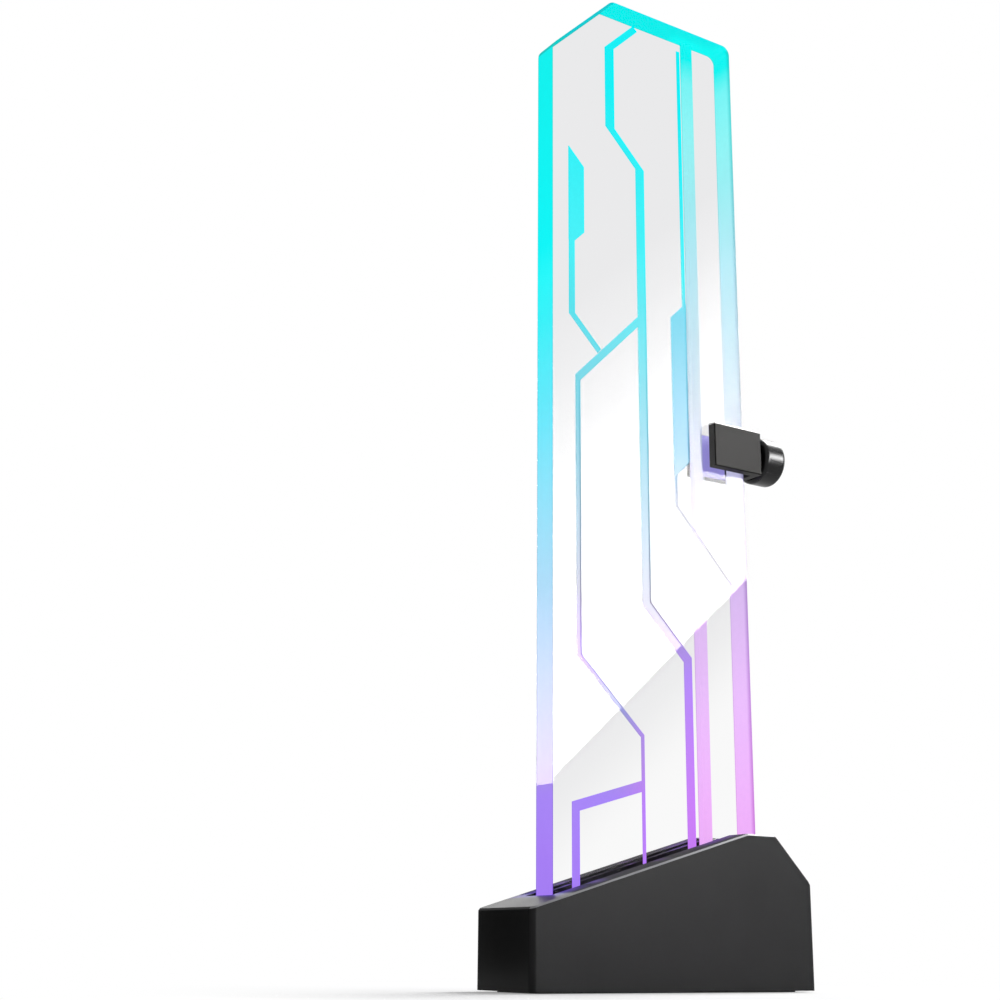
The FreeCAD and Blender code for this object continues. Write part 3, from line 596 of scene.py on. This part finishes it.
coat(moulded("soft_rubber", (0.018, 0.018, 0.019), 0.5, 4000.0, 0.03), "grip_pad", "cable_grommet")
coat(moulded("pale_silicone", (0.46, 0.42, 0.85), 0.4, 3000.0, 0.02, glow=0.35), "front_liner", "rear_liner")
coat(moulded("knob_rubber", (0.008, 0.008, 0.0085), 0.24, 1500.0, 0.01, specular=0.22), "knob_sleeve")
coat(moulded("gloss_knob", (0.012, 0.012, 0.013), 0.28, 1500.0, 0.01, specular=0.2), "screw_knob")
coat(moulded("cover_plastic", (0.02, 0.02, 0.021), 0.45, 3000.0, 0.04), "base_cover")
coat(moulded("nylon", (0.72, 0.68, 0.58), 0.45, 2500.0, 0.03), "clamp_bar", "led_header")
coat(moulded("solder_mask", (0.75, 0.76, 0.74), 0.3, 1800.0, 0.02), "led_board")
coat(moulded("phosphor", (0.85, 0.78, 0.4), 0.35, 5000.0, 0.03), "led_chips")

# %% [markdown]
# The metal ones are nickel plate on the magnets, zinc plate on the screws and turned brass in the clip. All
# show fine lines along one way, from rolling or from the lathe, so one noise is squeezed along that way and
# drives the colour, the gloss and a very shallow bump together.

# %% Plated and turned parts
TOOL_LINES = 1500.0


def plated(name, shade, gloss, stretch):
    """Plated or turned metal with fine lines; stretch squeezes the noise along one axis."""
    paint = Paint(name)
    lines = paint.noise(TOOL_LINES, 4.0, stretch)
    low = tuple(value * 0.8 for value in shade)
    shader = paint.principled(
        Base_Color=paint.blend(lines, (*low, 1.0), (*shade, 1.0)),
        Metallic=1.0,
        Roughness=gloss + (lines - 0.5) * 0.15,
        Normal=paint.bump(lines, 0.01 * MM, 0.3),
    )
    return paint.finish(shader)


nickel = plated("nickel_plate", (0.68, 0.66, 0.62), 0.18, (1, 1, 8))
zinc = plated("zinc_plate", (0.5, 0.5, 0.52), 0.3, (1, 8, 1))
brass = plated("turned_brass", (0.72, 0.52, 0.24), 0.28, (8, 1, 1))
coat(nickel, "magnet_left", "magnet_centre", "magnet_right")
coat(zinc, "cover_screws", "board_screws", "grub_screws", "screw_stud")
coat(brass, "clip_insert", "pressure_shoe")

# %% [markdown]
# The thumb screw's stud shows a short neck between the clip and the knob. On the real one that neck is a
# rolled metric thread, and the solid is a plain pin. A thread is a good first surface to work out with
# numpy: the radius depends only on where a point lies along the screw and how far round it is, so one grid
# of places along and angles round gives the whole stud. Turning such a grid into a mesh is a helper of its
# own.

# %% Surfaces from grids
def grid_mesh(name, points, turned=False):
    """A mesh from a grid of points, rows by columns by three; each cell of the grid is one face.

    A turned grid's last column joins its first, and a point in the middle of each end row closes that end.
    """
    rows, columns = points.shape[:2]
    index = np.arange(rows * columns).reshape(rows, columns)
    spots = points.reshape(-1, 3)
    faces = []
    if turned:
        index = np.column_stack((index, index[:, 0]))
        spots = np.vstack((spots, points[0].mean(axis=0), points[-1].mean(axis=0)))
        first, last = (np.full(columns, len(spots) - back) for back in (2, 1))
        faces += np.column_stack((first, index[0, 1:], index[0, :-1])).tolist()
        faces += np.column_stack((last, index[-1, :-1], index[-1, 1:])).tolist()
    quads = np.stack((index[:-1, :-1], index[:-1, 1:], index[1:, 1:], index[1:, :-1]), axis=-1)
    mesh = bpy.data.meshes.new(name)
    mesh.from_pydata(spots.tolist(), [], quads.reshape(-1, 4).tolist() + faces)
    mesh.update()
    return mesh


def add_piece(name, mesh, material):
    piece = bpy.data.objects.new(name, mesh)
    bpy.context.scene.collection.objects.link(piece)
    mesh.materials.append(material)
    print(name, "faces:", len(mesh.polygons))
    return piece


# %% [markdown]
# The stud is as thick and as long as the pin, which it replaces, and it rides on the thumb screw, so that
# it turns and backs off with the knob. The thread runs out at both ends, as a rolled one does.

# %% Threaded stud
THREAD_PITCH = 0.5 * MM
THREAD_DEPTH = 0.28 * MM
CREST_FROM = 7 / 8
ROOT_TO = 1 / 4
STEPS_A_TURN = 16
STEPS_ROUND = 64


def threaded_stud(low, high):
    """A screw along X that fills a box.

    The height of the thread at a place x and an angle a is read from the share x / pitch - a / turn, whose
    fraction runs once from crest to crest. Twice its distance from a half is 1 at a crest and 0 in a root;
    what is over 7/8 of that is the flat crest and what is under 1/4 the flat root. The radius is the root's
    plus the depth times that height, and the thread runs out over one pitch at both ends.
    """
    radius = (high[1] - low[1]) / 2
    rows = round((high[0] - low[0]) / THREAD_PITCH * STEPS_A_TURN)
    x = np.linspace(low[0], high[0], rows)[:, None]
    angle = np.linspace(0, 2 * np.pi, STEPS_ROUND, endpoint=False)[None, :]
    share = (x - low[0]) / THREAD_PITCH - angle / (2 * np.pi)
    height = np.clip((np.abs(2 * (share % 1) - 1) - ROOT_TO) / (CREST_FROM - ROOT_TO), 0, 1)
    run_out = np.clip(np.minimum(x - low[0], high[0] - x) / THREAD_PITCH, 0, 1)
    reach = radius - THREAD_DEPTH + THREAD_DEPTH * height * run_out
    middle = (low + high) / 2
    y = middle[1] + reach * np.cos(angle)
    z = middle[2] + reach * np.sin(angle)
    return grid_mesh("threaded_stud", np.stack((x + 0 * angle, y, z), axis=-1), turned=True)


stud_low, stud_high = (np.array(corner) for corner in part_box("screw_stud"))
stud = add_piece("threaded_stud", threaded_stud(stud_low, stud_high), zinc)
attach(stud, "thumb_screw")
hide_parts("screw_stud")
print("stud's length and thickness, mm:", np.round((stud_high - stud_low)[:2] / MM, 2))

# %% [markdown]
# A plain studio: a pale floor that keeps the shadow, a white surround and soft lamps. The floor is matt,
# and the light on it stays plain. Only what the camera and mirrors see of it is lifted a little and turned
# to plain white far from the middle, so that the floor meets the background without a line.

# %% Floor
FLOOR_REACH = 6.0
FLOOR_LIFT = 0.28
WHITE_FROM = 0.05
WHITE_AT = 0.11


def seen_directly(paint):
    """1 for rays from the camera, from mirrors and through glass, else 0."""
    kinds = ("Is Camera Ray", "Is Glossy Ray", "Is Transmission Ray")
    camera, glossy, through_glass = paint.add("LightPath", out=kinds)
    return camera.maths("MAXIMUM", glossy).maths("MAXIMUM", through_glass)


def floor_finish():
    """Matt and pale; the distance from the middle is the root of x squared plus y squared."""
    paint = Paint("pale_floor")
    _, x, y, _ = paint.spot()
    reach = (x * x + y * y) ** 0.5
    matt = paint.add("BsdfDiffuse", None, {"Color": (0.8, 0.8, 0.8, 1.0)})
    pale = paint.blend(paint.noise(3.0), (0.97, 0.97, 0.97, 1.0), (1.0, 1.0, 1.0, 1.0))
    lift = paint.add("Emission", None, {"Color": pale, "Strength": FLOOR_LIFT})
    near = paint.add("AddShader", None, {0: matt, 1: lift})
    white = paint.add("Emission", None, {"Color": (1, 1, 1, 1), "Strength": 1.0})
    shown = paint.add("MixShader", None, {0: smooth(reach, WHITE_FROM, WHITE_AT), 1: near, 2: white})
    return paint.finish(paint.add("MixShader", None, {0: seen_directly(paint), 1: matt, 2: shown}))


far = FLOOR_REACH
floor_points = np.array([[[-far, -far, 0], [far, -far, 0]], [[-far, far, 0], [far, far, 0]]])
floor = add_piece("studio_floor", grid_mesh("studio_floor", floor_points), floor_finish())

# %% [markdown]
# The surround is the world itself: white where it is seen, and only a dim light on everything, so that the
# lamps still shape the black pieces. Light Path tells the two kinds of ray apart.

# %% Surround
WORLD_LIGHT = 0.3


def surround():
    """Strength is 1 where the world is seen, and WORLD_LIGHT for the light that it throws."""
    world = bpy.data.worlds.new("white_surround")
    world.use_nodes = True
    bpy.context.scene.world = world
    paint = Paint("white_surround", world.node_tree)
    strength = seen_directly(paint) * (1.0 - WORLD_LIGHT) + WORLD_LIGHT
    sky = paint.add("Background", None, {"Color": (1, 1, 1, 1), "Strength": strength})
    paint.finish(sky, kind="OutputWorld")


surround()
print("world's light:", WORLD_LIGHT)

# %% [markdown]
# Two tall soft lamps are mirrored in the panel. One stands in front and to the right, and its sloping lower
# edge is what the polished face mirrors as the diagonal border; the other stands on the left and does the
# same for the left edge. A mirror shows what lies along the line from the camera's mirror image through the
# surface. So each lamp's lower edge is found by drawing lines from that mirrored camera through the two
# ends of the border on the panel, on to the lamp's plane.

# %% Lines from the mirrored camera
FRONT_LAMP_Y = -0.45
SIDE_LAMP_X = -0.5
SIDE_BORDER = [(PANEL_LEFT, PANEL_FRONT, 40.2 * MM), (PANEL_LEFT, PANEL_BACK, 40.2 * MM)]


def through(eye, spots, axis, plane):
    """Where lines from the eye through each spot meet the plane where one coordinate has a set value."""
    spots = np.array(spots, float)
    travel = (plane - eye[axis]) / (spots[:, axis] - eye[axis])
    return eye + (spots - eye) * travel[:, None]


eye = np.array(CAMERA_PLACE)
front_eye = eye * (1, -1, 1) + (0, 2 * PANEL_FRONT, 0)
side_eye = eye * (-1, 1, 1) + (2 * PANEL_LEFT, 0, 0)
front_edge = through(front_eye, FRONT_BORDER, 1, FRONT_LAMP_Y)
side_edge = through(side_eye, SIDE_BORDER, 0, SIDE_LAMP_X)
print("front lamp's lower edge, m:", np.round(front_edge, 3).tolist())

# %% [markdown]
# Each lamp is a sheet that is brightest at its lower edge and fades upward, and else clear. Only mirrors
# see it: it is hidden from the camera and throws no light on the pieces, so it shapes the veil on the panel
# and the sheen of the black coats and nothing else.

# %% Soft lamps
FADE = [(0.0, 1.0), (0.18, 0.9), (0.4, 0.62), (0.55, 0.42), (0.7, 0.22), (0.85, 0.07), (1.0, 0.0)]
FRONT_PEAK = 14.0 / POLISH
SIDE_PEAK = 7.0 / (POLISH * SAWN_GLOSS)


def lamp_finish(name, low, rise, slope, peak):
    """The fade reads (z - slope * x - low) / rise, so it keeps parallel to a sloping edge."""
    paint = Paint(name)
    _, x, _, z = paint.spot()
    share = (z - x * float(slope) - float(low)) / rise
    fade = paint.ramp(share, [(place, (level, level, level)) for place, level in FADE])
    light = paint.add("Emission", None, {"Color": fade, "Strength": peak})
    clear = paint.add("BsdfTransparent", None, {"Color": (1, 1, 1, 1)})
    return paint.finish(paint.add("AddShader", None, {0: light, 1: clear}))


def add_lamp(name, edge, rise, outward, peak):
    """A sheet standing on a sloping lower edge; outward widens it past both ends of the edge."""
    start, end = edge
    run = (end - start) * outward
    lift = np.array((0.0, 0.0, rise))
    points = np.array([[start - run, end + run], [start - run + lift, end + run + lift]])
    level = end[0] - start[0]
    slope = (end[2] - start[2]) / level if abs(level) > 1e-6 else 0.0
    finish = lamp_finish(f"{name}_light", start[2] - slope * start[0], rise, slope, peak)
    lamp = add_piece(name, grid_mesh(name, points), finish)
    lamp.visible_camera = False
    lamp.visible_diffuse = False
    finish.cycles.emission_sampling = "NONE"


add_lamp("front_soft_lamp", front_edge, rise=0.27, outward=0.6, peak=FRONT_PEAK)
add_lamp("side_soft_lamp", side_edge, rise=0.42, outward=3.0, peak=SIDE_PEAK)

# %% [markdown]
# One real lamp lights the pieces: a square panel high up on the right. It draws the sheen on the base's top
# and the knob, and the soft shadow on the floor.

# %% Overhead lamp
OVERHEAD_PLACE = Vector((0.6, 0.15, 0.8))
OVERHEAD_TARGET = Vector((0, 0, 0.05))
OVERHEAD_SIDE = 0.4
OVERHEAD_WATTS = 8.5


def add_overhead_lamp():
    data = bpy.data.lights.new("overhead_panel", "AREA")
    data.shape = "SQUARE"
    data.size = OVERHEAD_SIDE
    data.energy = OVERHEAD_WATTS
    lamp = bpy.data.objects.new("overhead_panel", data)
    lamp.location = OVERHEAD_PLACE
    lamp.rotation_euler = (OVERHEAD_TARGET - OVERHEAD_PLACE).to_track_quat("-Z", "Y").to_euler()
    bpy.context.scene.collection.objects.link(lamp)


add_overhead_lamp()
print("overhead lamp, W:", OVERHEAD_WATTS)

# %% [markdown]
# Two last sheets, as photographers use them. A soft light behind gives the knob and the coats a highlight
# from the back. A small black flag close to the base's left end keeps that end nearly black, as the
# photograph has it. The camera sees neither, and neither throws a shadow.

# %% Rear lamp and flag
REAR_STRENGTH = 3.0
REAR_Y = 0.5
REAR_LOW, REAR_HIGH = 0.1, 0.4
FLAG_STRENGTH = 0.002
FLAG_X = -0.045
FLAG_FRONT, FLAG_BACK = -0.006, 0.03
FLAG_LOW, FLAG_HIGH = 0.003, 0.028


def add_sheet(name, corners, strength, shades):
    """A plain sheet that the camera doesn't see: a soft light for mirrors, or a black flag that shades."""
    paint = Paint(f"{name}_finish")
    shade = paint.blend(paint.noise(4.0), (0.95, 0.95, 0.95, 1.0), (1.0, 1.0, 1.0, 1.0))
    glow = paint.add("Emission", None, {"Color": shade, "Strength": strength})
    sheet = add_piece(name, grid_mesh(name, np.array(corners)), paint.finish(glow))
    sheet.visible_camera = False
    sheet.visible_diffuse = shades
    sheet.visible_shadow = False


rear_corners = [[(x, REAR_Y, z) for x in (REAR_LOW, REAR_HIGH)] for z in (REAR_LOW, REAR_HIGH)]
flag_corners = [[(FLAG_X, y, z) for y in (FLAG_FRONT, FLAG_BACK)] for z in (FLAG_LOW, FLAG_HIGH)]
add_sheet("rear_soft_lamp", rear_corners, REAR_STRENGTH, shades=False)
add_sheet("left_flag", flag_corners, FLAG_STRENGTH, shades=True)

# %% [markdown]
# The colours were judged without a film curve, so the plain Standard view shows them as they are written.

# %% Studio settings
bpy.context.scene.view_settings.view_transform = "Standard"
print("view transform:", bpy.context.scene.view_settings.view_transform)

# %% [markdown]
